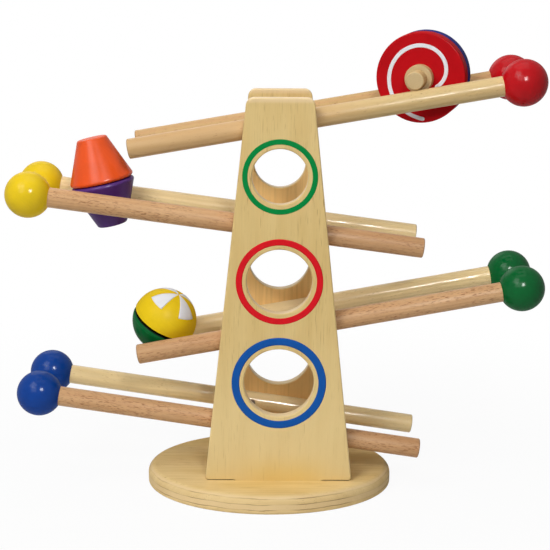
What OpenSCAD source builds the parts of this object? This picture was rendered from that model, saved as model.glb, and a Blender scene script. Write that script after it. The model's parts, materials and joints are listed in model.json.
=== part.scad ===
// Wooden shape ramp toy. An oval base carries a tower of two upright plates. Four sloping
// ramps run between the plates, each a pair of dowel rails with a ball on every high end.
// A disc spool, a double cone and a two-part ball lie loose on the upper three ramps.
// Millimetres, +Z up, the front towards -Y. The origin is on the floor below the middle
// of the oval base. The ramps are numbered from the top: red, yellow, green, blue.

/* [Base] */
// Length of the oval base, left to right
base_length = 206; // [190:1:250]
// Depth of the oval base, front to back
base_depth = 153; // [140:1:175]
// Thickness of the base
base_thick = 16; // [14:0.5:24]
// Rounding of the base's upper edge
base_edge_r = 6.8; // [2:0.1:8]
// Rounding of the base's lower edge
base_foot_r = 2.6; // [1:0.1:4]

/* [Tower] */
// Tower's place to the right of the middle of the base
tower_x = 7.7; // [-15:0.1:15]
// Tower's place behind the middle of the base
tower_y = 5.5; // [-10:0.1:10]
// Height of the two plates above the top ramp's rails
plate_rise = 21.6; // [18:0.1:60]
// Width of a plate at its foot
plate_foot_w = 120; // [110:1:150]
// Width of a plate at its top
plate_top_w = 54; // [50:1:90]
// Thickness of a plate
plate_t = 9.5; // [8.5:0.5:14]
// Radius of a plate's two top corners
plate_top_r = 6.5; // [3:0.1:15]
// Radius of a plate's two foot corners
plate_foot_r = 2.8; // [2.7:0.1:8]
// Rounding along a plate's edges
plate_edge_r = 1.3; // [0.5:0.1:1.4]
// Width of the tenon below a plate
tenon_w = 73; // [55:1:90]
// Depth of the tenon in the base
tenon_depth = 10; // [5:0.5:11]
// Clearance around a tenon in its mortise
tenon_fit = 0.1; // [0.05:0.05:0.4]

/* [Windows] */
// Diameter of the top round window
top_window_d = 44; // [30:0.5:50]
// Diameter of the middle round window
middle_window_d = 52.5; // [30:0.5:58]
// Diameter of the bottom round window
bottom_window_d = 57; // [30:0.5:60]
// Height of each window above the middle between two ramps
window_rise = 2.1; // [-3:0.1:4]
// Chamfer on the windows' edges
window_edge = 0.8; // [0.2:0.1:1.5]

/* [Ramps] */
// Diameter of a dowel rail
rail_d = 16; // [12:0.5:18]
// Distance between the axes of a ramp's two rails
rail_spacing = 61; // [60.5:0.5:66]
// Clearance between a rail and the plate behind it
rail_seat = 0.05; // [0.02:0.01:0.3]
// Rounding of a rail's free end
rail_end_r = 1; // [0.5:0.1:3]
// Height of the lowest ramp's rails above the base, in the middle of the tower
ramp_low_z = 39.6; // [34:0.1:60]
// Height from one ramp to the next
ramp_pitch = 84.1; // [82:0.1:110]

/* [Red ramp] */
// Slope of the red ramp, in degrees, up to the right
red_slope = 9.8; // [5:0.1:12]
// Distance along the red ramp from the tower's middle to its end balls
red_reach = 193; // [182:0.5:230]
// Distance along the red ramp from the tower's middle to its free ends
red_tail = 122; // [90:0.5:150]

/* [Yellow ramp] */
// Slope of the yellow ramp, in degrees, up to the left
yellow_slope = 7.5; // [5:0.1:12]
// Distance along the yellow ramp from the tower's middle to its end balls
yellow_reach = 202.5; // [190:0.5:230]
// Distance along the yellow ramp from the tower's middle to its free ends
yellow_tail = 116.5; // [90:0.5:150]

/* [Green ramp] */
// Slope of the green ramp, in degrees, up to the right
green_slope = 10.4; // [5:0.1:12]
// Distance along the green ramp from the tower's middle to its end balls
green_reach = 199.5; // [150:0.5:230]
// Distance along the green ramp from the tower's middle to its free ends
green_tail = 117.5; // [105:0.5:150]

/* [Blue ramp] */
// Slope of the blue ramp, in degrees, up to the left
blue_slope = 8.4; // [5:0.1:10]
// Distance along the blue ramp from the tower's middle to its end balls
blue_reach = 199.5; // [150:0.5:230]
// Distance along the blue ramp from the tower's middle to its free ends
blue_tail = 118; // [90:0.5:130]

/* [End balls] */
// Diameter of the balls on the rails' high ends
end_ball_d = 37; // [32:0.5:42]
// Depth of the socket in an end ball
socket_depth = 20; // [10:0.5:24]
// Radial clearance of a rail in its socket
socket_fit = 0.05; // [0.02:0.01:0.2]
// Clearance between a rail's end and the bottom of its socket
socket_gap = 0.3; // [0.1:0.1:1]

/* [Rail screws] */
// Distance of the rail screws to each side of the tower's middle
rail_screw_x = 23.5; // [15:0.1:24]
// Diameter of a rail screw
rail_screw_d = 3; // [2.5:0.1:4]
// Diameter of a rail screw's head
rail_screw_head_d = 5.6; // [5:0.1:6]
// Height of a rail screw's head
rail_screw_head_h = 1.8; // [1.2:0.1:2.5]
// Diameter of the recess for a rail screw's head
recess_d = 6.4; // [6.2:0.1:8]
// Depth of the recess for a rail screw's head
recess_depth = 4; // [3:0.1:6]
// Length of a rail screw in the plate
rail_screw_bite = 6.5; // [4:0.1:7.5]

/* [Base screws] */
// Distance of the base screws to each side of the tower's middle
base_screw_x = 22; // [12:0.5:25]
// Diameter of a base screw
base_screw_d = 4; // [3:0.1:5]
// Diameter of a base screw's head
base_screw_head_d = 8; // [6:0.1:9]
// Height of a base screw's head
base_screw_head_h = 2.2; // [1.5:0.1:2.4]
// Depth of the counterbore below a base screw's head
base_counterbore = 2.8; // [2.5:0.1:4]
// Length of a base screw in the plate
base_screw_bite = 20; // [12:0.5:30]
// Radial clearance of the screws and their heads
screw_fit = 0.05; // [0.02:0.01:0.2]

/* [Disc spool] */
// Diameter of the two discs
disc_d = 72; // [60:0.5:73.5]
// Thickness of one disc
disc_t = 12.5; // [8:0.5:12.5]
// Rounding of the discs' edges
disc_edge_r = 1.2; // [0.4:0.1:2.5]
// Diameter of the axle, which rests on the rails
axle_d = 14.4; // [12:0.1:18]
// Length of the axle
axle_len = 68; // [66:0.5:74]
// Diameter of the two hubs beside the discs
hub_d = 22; // [19:0.1:24]
// Length of one hub
hub_len = 8.5; // [4:0.5:9]
// Rounding of the hubs' edges
hub_edge_r = 0.6; // [0.3:0.1:1.5]
// Distance of the spool down the red ramp from its end balls
spool_drop = 73.9; // [50:0.1:270]
// Turn of the spool across the rails, in degrees
spool_turn = 18; // [0:0.5:18]

/* [Double cone] */
// Largest diameter of the double cone
cone_d = 54; // [51:0.5:58]
// Diameter of the double cone's two small ends
cone_tip_d = 24; // [16:0.5:30]
// Height of one half of the double cone
cone_h = 36.2; // [28:0.1:40]
// Gap between the two halves of the double cone
cone_gap = 0.6; // [0.5:0.1:3]
// Rounding of the double cone's edges
cone_edge_r = 2.2; // [0.8:0.1:2.5]
// Lean of the double cone from square to its ramp, in degrees uphill
cone_lean = 20; // [0:0.5:24]
// Distance of the double cone down the yellow ramp from its end balls
cone_drop = 54; // [40:0.5:290]

/* [Toy ball] */
// Diameter of the two-part ball
ball_d = 53.6; // [52:0.1:60]
// Gap between the ball's two halves, on the green side of its middle
ball_gap = 2; // [0.5:0.1:3]
// Width of the slant on the green half's rim
green_rim = 3.4; // [1:0.1:5]
// Width of the slant on the yellow half's rim
yellow_rim = 0.4; // [0.3:0.1:3]
// How far the two slants reach in from the ball's surface
rim_depth = 1.2; // [0.5:0.1:3]
// Lean of the ball's pole from upright, in degrees
ball_lean = 31; // [0:1:90]
// Turn of the ball's pole about the upright, in degrees from the right
ball_turn = -23; // [-180:1:180]
// Distance of the ball up the green ramp from its free ends
ball_climb = 23; // [5:0.5:270]

/* [Joining dowels] */
// Diameter of the dowels inside the double cone and the ball
dowel_d = 10; // [6:0.5:14]
// Length of the dowel inside the double cone
cone_dowel_len = 44; // [20:1:50]
// Length of the dowel inside the ball
ball_dowel_len = 32; // [16:1:38]
// Radial clearance of the axle and the dowels in their bores
turn_fit = 0.05; // [0.02:0.01:0.1]
// Clearance at the ends of a dowel
dowel_end_gap = 0.5; // [0.2:0.1:1]
// Clearance between a loose shape and its rails
rest_gap = 0.3; // [0.2:0.05:0.6]

/* [Hidden] */
$fn = 96;
// Sides of the circles that round an edge, and of the corners of a plate's outline
edge_fn = 32;
// Overlap of cutting solids past the faces they cut
cut = 1;

// Ramp numbers and the two sides of a ramp
RED = 0;
YELLOW = 1;
GREEN = 2;
BLUE = 3;
FRONT = -1;
REAR = 1;
SIDES = [FRONT, REAR];
PAIR = [-1, 1];

slopes = [red_slope, yellow_slope, green_slope, blue_slope];
reaches = [red_reach, yellow_reach, green_reach, blue_reach];
tails = [red_tail, yellow_tail, green_tail, blue_tail];
ball_colours = ["firebrick", "gold", "seagreen", "royalblue"];
windows = [top_window_d, middle_window_d, bottom_window_d];
ramp_top_z = ramp_low_z + BLUE * ramp_pitch;
plate_height = ramp_top_z + plate_rise;

rail_r = rail_d / 2;
plate_gap = rail_spacing + rail_d + 2 * rail_seat;
plate_y = plate_gap / 2 + plate_t / 2;
window_z = [for (i = [0 : len(windows) - 1]) ramp_top_z - (i + 0.5) * ramp_pitch + window_rise];
rail_screw_len = rail_d - recess_depth + rail_seat + rail_screw_bite;
base_screw_len = base_thick - tenon_depth - base_counterbore + base_screw_bite;

// Distance of a loose shape up its ramp from the tower's middle
spool_at = red_reach - spool_drop;
cone_at = yellow_reach - cone_drop;
ball_at = ball_climb - green_tail;

// Height of a loose shape's middle above the plane of its ramp's rail axes
spool_rise = rail_r + rest_gap + axle_d / 2;
ball_rise = sqrt(pow(ball_d / 2 + rail_r + rest_gap, 2) - pow(rail_spacing / 2, 2));

// The lower cone touches each rail at one point. Its flank's angle and the lean give the
// direction of that touch, and the spacing of the rails then gives its radius and height.
cone_flank = atan((cone_d - cone_tip_d) / 2 / cone_h);
touch_cos = tan(cone_flank) * tan(cone_lean);
touch_sin = sqrt(1 - touch_cos * touch_cos);
rail_reach = rail_r + rest_gap;
touch_r = rail_spacing / 2 / touch_sin - rail_reach * cos(cone_flank);
touch_drop = (cone_d / 2 - touch_r) / tan(cone_flank);
rim_rise = touch_drop * cos(cone_lean) + touch_r * touch_cos * sin(cone_lean)
    + rail_reach * (cos(cone_flank) * touch_cos * sin(cone_lean) + sin(cone_flank) * cos(cone_lean));
cone_rise = rim_rise + cone_gap / 2 * cos(cone_lean);

// Height of a ramp's rails above the floor, in the middle of the tower
function ramp_z(ramp) = base_thick + ramp_top_z - ramp * ramp_pitch;

// Unit vector from one point of an outline to another
function towards(a, b) = (b - a) / norm(b - a);

// Half the angle of the outline's corner at p, between its neighbours a and b
function half_angle(a, p, b) = acos(towards(p, a) * towards(p, b)) / 2;

// Centre of the arc of radius r that rounds the corner at p
function arc_centre(a, p, b, r) =
    p + towards([0, 0], towards(p, a) + towards(p, b)) * r / sin(half_angle(a, p, b));

// The two points where that arc meets the outline
function arc_ends(a, p, b, r) =
    [for (q = [a, b]) p + towards(p, q) * r / tan(half_angle(a, p, b))];

// Outline whose second and third corners are rounded by their own radii; the first and last
// corners lie on the axis
module rounded_outline(points, radii) {
    arcs = [1, 2];
    polygon(concat(
        [points[0]],
        [for (i = arcs, q = arc_ends(points[i - 1], points[i], points[i + 1], radii[i - 1])) q],
        [points[3]]
    ));
    for (i = arcs)
        translate(arc_centre(points[i - 1], points[i], points[i + 1], radii[i - 1]))
            circle(radii[i - 1], $fn = edge_fn);
}

// Round body from z = 0 to z = h, r0 wide at the bottom and r1 at the top. Both edges are
// rounded by the same radius, unless the upper one has its own.
module turned(r0, r1, h, edge, upper_edge = undef) {
    rotate_extrude()
        rounded_outline(
            [[0, 0], [r0, 0], [r1, h], [0, h]],
            [edge, is_undef(upper_edge) ? edge : upper_edge]
        );
}

// Oval slab with rounded edges
module oval_slab() {
    hull()
        scale([1, base_depth / base_length, 1])
            turned(base_length / 2, base_length / 2, base_thick, base_foot_r, base_edge_r);
}

// Puts its children in the tower's frame, on top of the base
module on_tower() {
    translate([tower_x, tower_y, base_thick])
        children();
}

// Puts its children in a ramp's frame: +X uphill along the rails, Z square to the ramp
module on_ramp(ramp) {
    translate([tower_x, tower_y, ramp_z(ramp)])
        mirror([ramp % 2, 0, 0])
            rotate([0, -slopes[ramp], 0])
                children();
}

// Puts its children at both screws of a rail, +Z from the rail to its plate
module at_rail_screws(ramp, side) {
    on_ramp(ramp)
        for (s = PAIR)
            translate([s * rail_screw_x, side * rail_spacing / 2, 0])
                rotate([-90 * side, 0, 0])
                    children();
}

// Puts its children at both screws below a plate, +Z up, on the floor
module at_base_screws(side) {
    for (s = PAIR)
        translate([tower_x + s * base_screw_x, tower_y + side * plate_y, 0])
            children();
}

// Screw with a round head, its head's seat at z = 0 and its tip at z = len
module wood_screw(d, head_d, head_h, length) {
    slot_w = d / 4;
    slot_depth = head_h / 2;
    difference() {
        rotate_extrude()
            polygon([
                [0, -head_h], [head_d / 2, -head_h], [head_d / 2, 0], [d / 2, 0],
                [d / 2, length - d], [0, length]
            ]);
        for (turn = [0, 90])
            rotate([0, 0, turn])
                translate([-d / 2, -slot_w / 2, -head_h - cut])
                    cube([d, slot_w, slot_depth + cut]);
    }
}

// Corner of a plate's outline, a coin with rounded edges that stands on its rim
module plate_corner(r) {
    rotate([90, 0, 0])
        translate([0, 0, -plate_t / 2])
            turned(r, r, plate_t, plate_edge_r, $fn = edge_fn);
}

// Trapezoid with rounded corners and edges, and a tenon below
module plate_blank() {
    hull()
        for (s = PAIR) {
            translate([s * (plate_foot_w / 2 - plate_foot_r), 0, plate_foot_r])
                plate_corner(plate_foot_r);
            translate([s * (plate_top_w / 2 - plate_top_r), 0, plate_height - plate_top_r])
                plate_corner(plate_top_r);
        }
    translate([-tenon_w / 2, -plate_t / 2, -tenon_depth])
        cube([tenon_w, plate_t, tenon_depth + 2 * plate_edge_r]);
}

// Round window through a plate, with a chamfer on both faces
module window_cut(d) {
    rotate([90, 0, 0]) {
        cylinder(d = d, h = plate_t + 2 * cut, center = true);
        for (s = PAIR)
            rotate([90 - s * 90, 0, 0])
                translate([0, 0, plate_t / 2 - window_edge])
                    cylinder(d1 = d, d2 = d + 2 * (window_edge + cut), h = window_edge + cut);
    }
}

module base() {
    mortise = [tenon_w + 2 * tenon_fit, plate_t + 2 * tenon_fit, tenon_depth + tenon_fit];
    color("burlywood")
        difference() {
            oval_slab();
            for (side = SIDES) {
                on_tower()
                    translate([-mortise.x / 2, side * plate_y - mortise.y / 2, -mortise.z])
                        cube([mortise.x, mortise.y, mortise.z + cut]);
                at_base_screws(side) {
                    translate([0, 0, -cut])
                        cylinder(d = base_screw_d + 2 * screw_fit, h = base_thick);
                    translate([0, 0, -cut])
                        cylinder(d = base_screw_head_d + 2 * screw_fit, h = base_counterbore + cut);
                }
            }
        }
}

module plate(side) {
    color("tan")
        difference() {
            on_tower()
                translate([0, side * plate_y, 0])
                    difference() {
                        plate_blank();
                        for (i = [0 : len(windows) - 1])
                            translate([0, 0, window_z[i]])
                                window_cut(windows[i]);
                    }
            for (ramp = [RED : BLUE])
                at_rail_screws(ramp, side)
                    cylinder(
                        d = rail_screw_d + 2 * screw_fit,
                        h = rail_r + rail_seat + rail_screw_bite + screw_fit
                    );
            at_base_screws(side)
                cylinder(
                    d = base_screw_d + 2 * screw_fit,
                    h = base_counterbore + base_screw_len + screw_fit
                );
        }
}

module base_screws() {
    color("slategray")
        for (side = SIDES)
            at_base_screws(side)
                translate([0, 0, base_counterbore])
                    wood_screw(base_screw_d, base_screw_head_d, base_screw_head_h, base_screw_len);
}

module rail(ramp, side) {
    high_end = reaches[ramp] - end_ball_d / 2 + socket_depth - socket_gap;
    color("peru")
        difference() {
            on_ramp(ramp)
                translate([-tails[ramp], side * rail_spacing / 2, 0])
                    rotate([0, 90, 0])
                        turned(rail_r, rail_r, tails[ramp] + high_end, rail_end_r);
            at_rail_screws(ramp, side) {
                translate([0, 0, -rail_d])
                    cylinder(d = rail_screw_d + 2 * screw_fit, h = 2 * rail_d);
                translate([0, 0, -rail_d])
                    cylinder(d = recess_d, h = rail_r + recess_depth);
            }
        }
}

module end_ball(ramp, side) {
    color(ball_colours[ramp])
        on_ramp(ramp)
            translate([reaches[ramp], side * rail_spacing / 2, 0])
                rotate([0, -90, 0])
                    difference() {
                        sphere(d = end_ball_d);
                        translate([0, 0, end_ball_d / 2 - socket_depth])
                            cylinder(d = rail_d + 2 * socket_fit, h = end_ball_d);
                    }
}

module rail_screws(ramp) {
    color("slategray")
        for (side = SIDES)
            at_rail_screws(ramp, side)
                translate([0, 0, recess_depth - rail_r])
                    wood_screw(rail_screw_d, rail_screw_head_d, rail_screw_head_h, rail_screw_len);
}

// Puts its children on the spool's axis, +Z to the rear, the middle of the spool at z = 0
module on_spool() {
    on_ramp(RED)
        translate([spool_at, 0, spool_rise])
            rotate([0, 0, -spool_turn])
                rotate([-90, 0, 0])
                    children();
}

// Bore for a turning shaft of diameter d, half its length to each side of z = 0
module shaft_bore(d, length) {
    cylinder(d = d + 2 * turn_fit, h = length, center = true);
}

module spool_axle() {
    color("wheat")
        on_spool()
            translate([0, 0, -axle_len / 2])
                turned(axle_d / 2, axle_d / 2, axle_len, disc_edge_r);
}

module spool_disc(side, colour) {
    color(colour)
        on_spool()
            difference() {
                translate([0, 0, (side - 1) / 2 * disc_t])
                    turned(disc_d / 2, disc_d / 2, disc_t, disc_edge_r);
                shaft_bore(axle_d, axle_len);
            }
}

module spool_hub(side) {
    color("wheat")
        on_spool()
            difference() {
                translate([0, 0, side * (disc_t + hub_len / 2) - hub_len / 2])
                    turned(hub_d / 2, hub_d / 2, hub_len, hub_edge_r);
                shaft_bore(axle_d, axle_len);
            }
}

// Puts its children on the double cone's axis, its middle at z = 0
module on_cone() {
    on_ramp(YELLOW)
        translate([cone_at, 0, cone_rise])
            rotate([0, cone_lean, 0])
                children();
}

module cone_half(side, colour) {
    color(colour)
        on_cone()
            difference() {
                rotate([90 - side * 90, 0, 0])
                    translate([0, 0, cone_gap / 2])
                        turned(cone_d / 2, cone_tip_d / 2, cone_h, cone_edge_r);
                shaft_bore(dowel_d, cone_dowel_len + 2 * dowel_end_gap);
            }
}

module cone_dowel() {
    color("wheat")
        on_cone()
            cylinder(d = dowel_d, h = cone_dowel_len, center = true);
}

// Puts its children on the toy ball's axis, its middle at z = 0
module on_ball() {
    translate([
        tower_x + ball_at * cos(green_slope) - ball_rise * sin(green_slope),
        tower_y,
        ramp_z(GREEN) + ball_at * sin(green_slope) + ball_rise * cos(green_slope)
    ])
        rotate([0, ball_lean, ball_turn])
            children();
}

// Half ball on one side of z = 0. Its flat face lies the given distance from the ball's middle,
// and its rim is cut back to a slant of the given height.
module ball_half(side, face, rim, colour) {
    color(colour)
        on_ball()
            difference() {
                rotate([90 - side * 90, 0, 0])
                    difference() {
                        sphere(d = ball_d);
                        translate([0, 0, face - ball_d])
                            cylinder(d = 2 * ball_d, h = ball_d);
                        translate([0, 0, face])
                            rotate_extrude()
                                polygon([
                                    [ball_d / 2 - rim_depth, 0], [ball_d, 0],
                                    [ball_d, rim], [ball_d / 2, rim]
                                ]);
                    }
                shaft_bore(dowel_d, ball_dowel_len + 2 * dowel_end_gap);
            }
}

module ball_dowel() {
    color("wheat")
        on_ball()
            cylinder(d = dowel_d, h = ball_dowel_len, center = true);
}

base();
plate(FRONT);  // front_plate
plate(REAR);  // back_plate
base_screws();
rail(RED, FRONT);  // red_ramp_front_rail
rail(RED, REAR);  // red_ramp_rear_rail
end_ball(RED, FRONT);  // red_ramp_front_ball
end_ball(RED, REAR);  // red_ramp_rear_ball
rail_screws(RED);  // red_ramp_screws
rail(YELLOW, FRONT);  // yellow_ramp_front_rail
rail(YELLOW, REAR);  // yellow_ramp_rear_rail
end_ball(YELLOW, FRONT);  // yellow_ramp_front_ball
end_ball(YELLOW, REAR);  // yellow_ramp_rear_ball
rail_screws(YELLOW);  // yellow_ramp_screws
rail(GREEN, FRONT);  // green_ramp_front_rail
rail(GREEN, REAR);  // green_ramp_rear_rail
end_ball(GREEN, FRONT);  // green_ramp_front_ball
end_ball(GREEN, REAR);  // green_ramp_rear_ball
rail_screws(GREEN);  // green_ramp_screws
rail(BLUE, FRONT);  // blue_ramp_front_rail
rail(BLUE, REAR);  // blue_ramp_rear_rail
end_ball(BLUE, FRONT);  // blue_ramp_front_ball
end_ball(BLUE, REAR);  // blue_ramp_rear_ball
rail_screws(BLUE);  // blue_ramp_screws
spool_axle();
spool_disc(FRONT, "crimson");  // spool_red_disc
spool_disc(REAR, "mediumblue");  // spool_blue_disc
spool_hub(FRONT);  // spool_front_hub
spool_hub(REAR);  // spool_rear_hub
cone_dowel();
cone_half(REAR, "orangered");  // orange_cone
cone_half(FRONT, "rebeccapurple");  // purple_cone
ball_dowel();
ball_half(REAR, 0, yellow_rim, "gold");  // yellow_ball_half
ball_half(FRONT, ball_gap, green_rim, "seagreen");  // green_ball_half
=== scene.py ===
"""Looks of a wooden shape ramp toy: lacquered ply and beech, gloss paint, printed rings, spirals
and petals, and the plain stage that they are seen on."""

import json
import math
from typing import NamedTuple

import bpy
import numpy as np
from mathutils import Matrix, Vector


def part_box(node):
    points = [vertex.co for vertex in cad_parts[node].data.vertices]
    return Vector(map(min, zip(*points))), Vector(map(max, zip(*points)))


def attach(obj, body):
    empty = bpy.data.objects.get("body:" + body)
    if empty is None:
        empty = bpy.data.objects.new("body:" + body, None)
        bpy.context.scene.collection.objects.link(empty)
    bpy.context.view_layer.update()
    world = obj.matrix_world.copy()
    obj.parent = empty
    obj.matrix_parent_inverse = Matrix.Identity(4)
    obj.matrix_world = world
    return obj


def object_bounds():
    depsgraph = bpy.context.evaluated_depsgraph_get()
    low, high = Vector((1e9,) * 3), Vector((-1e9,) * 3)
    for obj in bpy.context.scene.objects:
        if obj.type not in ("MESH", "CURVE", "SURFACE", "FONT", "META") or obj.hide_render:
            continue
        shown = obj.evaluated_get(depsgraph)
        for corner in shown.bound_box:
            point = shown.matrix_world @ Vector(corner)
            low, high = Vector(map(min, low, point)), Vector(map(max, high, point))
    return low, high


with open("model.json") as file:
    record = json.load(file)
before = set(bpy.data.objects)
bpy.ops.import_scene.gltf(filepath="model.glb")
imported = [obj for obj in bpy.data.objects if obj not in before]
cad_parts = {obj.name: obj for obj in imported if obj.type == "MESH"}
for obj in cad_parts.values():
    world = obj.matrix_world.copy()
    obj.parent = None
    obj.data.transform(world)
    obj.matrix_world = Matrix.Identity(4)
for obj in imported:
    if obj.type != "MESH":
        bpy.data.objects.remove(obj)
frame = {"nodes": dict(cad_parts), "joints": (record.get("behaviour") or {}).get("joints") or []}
CAD_BOX = [list(corner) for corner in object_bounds()]
JOINTS = {joint["name"]: joint for joint in frame["joints"]}

bl_info = {
    "name": "Shape ramp toy",
    "version": (1, 0, 0),
    "blender": (4, 5, 0),
    "location": "View3D > Sidebar > Ramp toy",
    "description": "Finishes the solids of a wooden shape ramp toy and sets its stage",
    "category": "Object",
}

RAMPS = ("red", "yellow", "green", "blue")
SIDES = ("front", "rear")
RING_SLOTS = {"top": "green", "middle": "red", "bottom": "blue"}
MM = 0.001
UP = np.array([0.0, 0.0, 1.0])
BACK = np.array([0.0, 1.0, 0.0])


def tone(*display):
    """A colour in display values from 0 to 255, as the linear values that a shader takes, by the
    curve of sRGB."""
    share = np.array(display) / 255
    return np.where(share <= 0.04045, share / 12.92, ((share + 0.055) / 1.055) ** 2.4).tolist()


def colour(name, description, *display):
    """A colour property whose default is given in display values."""
    return bpy.props.FloatVectorProperty(
        name=name, description=description, subtype="COLOR", size=3, min=0, max=1, default=tone(*display)
    )


def length(name, description, millimetres):
    """A length property whose default is given in millimetres."""
    return bpy.props.FloatProperty(
        name=name, description=description, unit="LENGTH", precision=5, default=millimetres * MM
    )


def angle(name, description, degrees):
    """An angle property whose default is given in degrees."""
    return bpy.props.FloatProperty(
        name=name, description=description, subtype="ANGLE", default=math.radians(degrees)
    )


def power(name, description, watts):
    """A lamp's power property whose default is given in watts."""
    return bpy.props.FloatProperty(name=name, description=description, unit="POWER", default=watts)


class RampToyPaints(bpy.types.PropertyGroup):
    """Paints of the balls, the shapes and the printed marks"""

    red: colour("Red", "Paint of the top ramp's balls and the spool's front disc", 191, 18, 26)
    yellow: colour("Yellow", "Paint of the second ramp's balls and the toy ball's upper half", 241, 205, 32)
    green: colour("Green", "Paint of the third ramp's balls and the toy ball's lower half", 6, 98, 46)
    blue: colour("Blue", "Paint of the bottom ramp's balls", 16, 66, 150)
    indigo: colour("Indigo", "Paint of the spool's rear disc", 34, 44, 128)
    orange: colour("Orange", "Paint of the upper cone", 238, 88, 32)
    purple: colour("Purple", "Paint of the lower cone", 88, 48, 126)
    white: colour("White", "Print of the spirals and the petals", 236, 238, 243)
    ring_top: colour("Top ring", "Print round the top window", 8, 138, 66)
    ring_middle: colour("Middle ring", "Print round the middle window", 224, 30, 40)
    ring_bottom: colour("Bottom ring", "Print round the bottom window", 24, 88, 172)


class RampToyTimbers(bpy.types.PropertyGroup):
    """Colours of the bare and lacquered wood, and of the screws"""

    veneer: colour("Veneer", "Face of the plates", 227, 199, 135)
    veneer_dark: colour("Dark veneer", "Late growth in the face veneer", 215, 182, 116)
    veneer_streak: colour("Veneer streak", "Short dark streaks in the face veneer", 168, 128, 72)
    # A warmer tone near the middle of the tower's foot, on the base and on the plates
    veneer_warm: colour("Warm veneer", "Lacquer pooled at the foot of the tower", 236, 200, 114)
    # Painted light: a paler tone that brightens the plates towards their foot
    veneer_foot_light: colour("Pale veneer", "Lower part of the plates", 244, 218, 158)
    veneer_base: colour("Base veneer", "Face of the base", 237, 209, 150)
    # Painted light: the warm, lifted tone of light bounced between the plates, on their inner faces
    veneer_inner_bounce: colour("Inner veneer", "Faces of the plates that face each other", 255, 212, 140)
    core: colour("Ply core", "End grain of the inner plies and of the turned pieces", 236, 208, 160)
    # Painted shadow: a dark line in the gap below the plates' corners
    joint: colour("Open joint", "Shadow line below the corners of the plates", 84, 58, 30)
    glue: colour("Glue line", "Lines between the plies", 150, 108, 64)
    beech: colour("Beech", "Early growth in the pinkish rails", 218, 176, 130)
    beech_dark: colour("Dark beech", "Late growth in the pinkish rails", 202, 154, 108)
    beech_fleck: colour("Beech fleck", "Short flecks in the pinkish rails", 150, 98, 60)
    pale: colour("Pale wood", "Early growth in the top front rail, the axle and the hubs", 220, 192, 138)
    pale_dark: colour("Dark pale wood", "Late growth in the pale wood", 204, 170, 112)
    # Partly painted light: a lighter wood, lightened further to offset the shade that the tower casts on
    # the lower rear rails
    pale_lightened: colour("Light pale wood", "Early growth in the lower rear rails", 244, 217, 161)
    pale_fleck: colour("Pale wood fleck", "Short flecks in the pale wood", 166, 126, 78)
    steel: colour("Steel", "Screws", 150, 148, 144)


class RampToyMarks(bpy.types.PropertyGroup):
    """Sizes of the printed marks"""

    film: length("Print thickness", "How far a printed mark stands proud", 0.09)
    window_radius_top: length("Top window", "Radius of the top window", 22.0)
    window_radius_middle: length("Middle window", "Radius of the middle window", 26.25)
    window_radius_bottom: length("Bottom window", "Radius of the bottom window", 28.5)
    window_height_top: length("Top window height", "Height of the top window's middle", 267.95)
    window_height_middle: length("Middle window height", "Height of the middle window's middle", 183.85)
    window_height_bottom: length("Bottom window height", "Height of the bottom window's middle", 99.75)
    ring_gap: length("Ring gap", "Bare wood between a window and its ring", 3.5)
    ring_width_top: length("Top ring width", "Width of the ring round the top window", 4.2)
    ring_width_middle: length("Middle ring width", "Width of the ring round the middle window", 5.1)
    ring_width_bottom: length("Bottom ring width", "Width of the ring round the bottom window", 6.3)
    spiral_width: length("Spiral width", "Width of the spiral stripe", 3.2)
    spiral_start: length("Spiral start", "Spiral's distance from its middle, to the right of it", 16.9)
    spiral_pitch: length("Spiral pitch", "Growth of that distance in one turn", 25.5)
    spiral_right: length("Spiral offset, right", "Spiral's middle to the right of the disc's", 4.3)
    spiral_up: length("Spiral offset, up", "Spiral's middle above the disc's", 1.9)
    spiral_from: angle("Spiral's inner end", "Direction of the inner end, from the right", -60)
    spiral_to: angle("Spiral's outer end", "Direction of the outer end, from the right", 261)
    petal_first: angle("First petal", "Direction of the first petal round the pole", 66)
    petal_width: angle("Petal width", "Angle round the pole that a petal takes", 46)
    petal_reach: angle("Petal reach", "Angle from the pole to a petal's outer edge", 51)


class RampToyStage(bpy.types.PropertyGroup):
    """Camera and lamps"""

    camera_x: length("Camera right", "Camera's place to the right of the base's middle", 4.251)
    camera_y: length("Camera back", "Camera's place behind the base's middle", -1027.117)
    camera_z: length("Camera height", "Camera's height above the floor", 414.533)
    pitch: angle("Pitch", "How far the camera looks down", 12.861)
    yaw: angle("Yaw", "How far the camera looks to the right", -0.009)
    roll: angle("Roll", "How far the picture turns clockwise", 0.324)
    lens: bpy.props.FloatProperty(
        name="Lens", description="Focal length on the camera's sensor", unit="CAMERA", default=83.295
    )
    sky: bpy.props.FloatProperty(name="Sky", description="Strength of the even light", default=0.03)
    front: power("Front", "Power of the small lamp at the front", 2.1)
    gleam: power("Gleam", "Power of the lamp that only reflections show", 9.0)
    window: power("Window", "Power of the wide lamp at the front", 12.3)
    left: power("Left", "Power of the wide lamp high on the left", 15.0)
    ceiling: power("Ceiling", "Power of the wide lamp overhead", 4.5)
    back: power("Back", "Power of the wide lamp behind the toy", 4.0)


# CAD nodes and directions


def dress(material, *names):
    """Puts a material on CAD nodes."""
    for name in names:
        slots = frame["nodes"][name].material_slots
        if not slots:
            raise RuntimeError(f"{name} has no material slot")
        for slot in slots:
            slot.material = material


def points(name):
    """A CAD node's vertices in metres."""
    mesh = frame["nodes"][name].data
    flat = np.empty(len(mesh.vertices) * 3, np.float32)
    mesh.vertices.foreach_get("co", flat)
    return flat.reshape(-1, 3).astype(float)


def unit(vector):
    """A vector's direction."""
    return np.asarray(vector, float) / np.linalg.norm(vector)


def axes_turn(x_axis, y_axis, z_axis):
    """Euler angles of a frame with these axes."""
    return tuple(Matrix(np.column_stack([x_axis, y_axis, z_axis]).tolist()).to_euler())


# Shader wiring


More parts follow.
